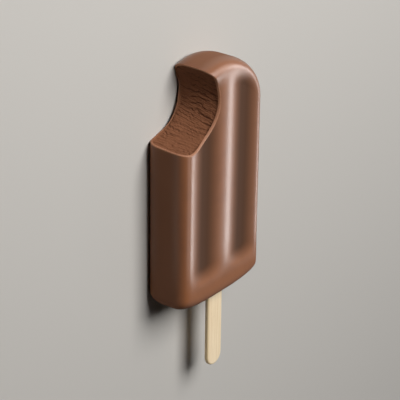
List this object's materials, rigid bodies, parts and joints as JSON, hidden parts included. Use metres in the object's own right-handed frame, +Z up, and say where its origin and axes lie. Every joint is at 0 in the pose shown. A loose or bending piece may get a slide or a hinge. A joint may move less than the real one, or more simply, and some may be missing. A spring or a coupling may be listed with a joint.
{
  "type": "ice cream bar",
  "caption": "Chocolate ice cream bar with fluted faces and an arched tip, one corner bitten off, on a flat wooden stick, lying on its back.",
  "frame": {"origin": "middle of the footprint of bar and stick, on the surface that the bar lies on", "axes": "+X across the bar, +Y along it towards the arched tip, +Z up out of the upper broad face; the stick points to -Y"},
  "size_m": [0.0516, 0.1382, 0.0191],
  "materials": {
    "chocolate_coating": "smooth milk chocolate skin, satin gloss",
    "chocolate_ice_cream": "rough bitten frozen chocolate ice cream",
    "birch_stick": "plain sanded birch"
  },
  "bodies": {
    "root": {"coating": "chocolate_coating", "ice_cream": "chocolate_ice_cream", "stick": "birch_stick"}
  },
  "joints": []
}
